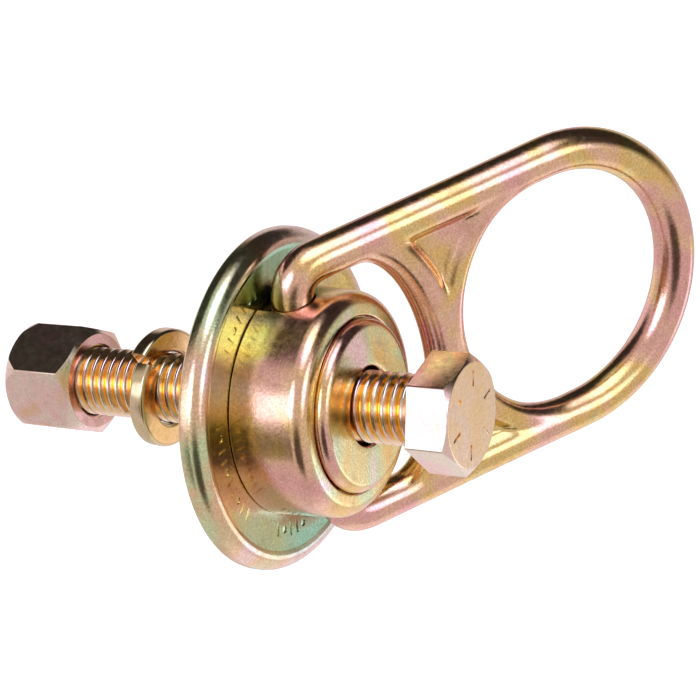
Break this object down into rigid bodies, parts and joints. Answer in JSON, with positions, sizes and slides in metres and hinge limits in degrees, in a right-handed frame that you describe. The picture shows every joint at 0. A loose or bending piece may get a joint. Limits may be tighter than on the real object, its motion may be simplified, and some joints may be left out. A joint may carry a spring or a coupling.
{
  "type": "swivel hoist ring",
  "caption": "Swivelling hoist ring: round base flange, rotating cylindrical housing, pivoting forged D-ring, central hex bolt, split lock washer and hex nut.",
  "frame": {"origin": "centre of the base flange's mounting face, on the bolt axis", "axes": "+Z along the bolt axis from the structure towards the bolt head, X along the D-ring's pivot axis, and the D-ring leans towards +Y at rest"},
  "size_m": [0.0762, 0.1311, 0.133],
  "materials": {
    "flange_zinc": "yellow zinc plated steel, satin, with green and rose iridescence",
    "body_zinc": "yellow zinc plated steel, satin, turned",
    "ring_zinc": "yellow zinc plated forging, satin, finely speckled",
    "fastener_zinc": "pale yellow zinc plated fastener steel",
    "washer_zinc": "yellow zinc plated spring steel, dull",
    "spring_steel": "dark oiled spring steel",
    "bronze": "machined bearing bronze"
  },
  "bodies": {
    "base": {"base_flange": "flange_zinc", "flanged_bushing": "body_zinc", "retaining_ring": "spring_steel", "lower_thrust_washer": "bronze", "bearing_sleeve": "bronze", "upper_thrust_washer": "bronze"},
    "housing": {"swivel_housing": "body_zinc"},
    "d_ring": {"d_ring": "ring_zinc"},
    "bolt": {"mounting_bolt": "fastener_zinc"},
    "washer": {"lock_washer": "washer_zinc"},
    "nut": {"hex_nut": "fastener_zinc"}
  },
  "joints": [
    {"name": "housing_swivel", "type": "hinge", "parent": "base", "child": "housing", "pos_m": [0, 0, 0.01], "axis": [0, 0, 1], "continuous": true},
    {"name": "ring_pivot", "type": "hinge", "parent": "housing", "child": "d_ring", "pos_m": [0, 0, 0.0102], "axis": [1, 0, 0], "range_deg": [-27, 20]},
    {"name": "bolt_slide", "type": "slide", "parent": "base", "child": "bolt", "axis": [0, 0, 1], "range_m": [-0.0142, 0.008]},
    {"name": "washer_slide", "type": "slide", "parent": "bolt", "child": "washer", "axis": [0, 0, 1], "range_m": [-0.005, 0.016]},
    {"name": "nut_travel", "type": "slide", "parent": "bolt", "child": "nut", "axis": [0, 0, 1], "range_m": [-0.014, 0.01]}
  ]
}
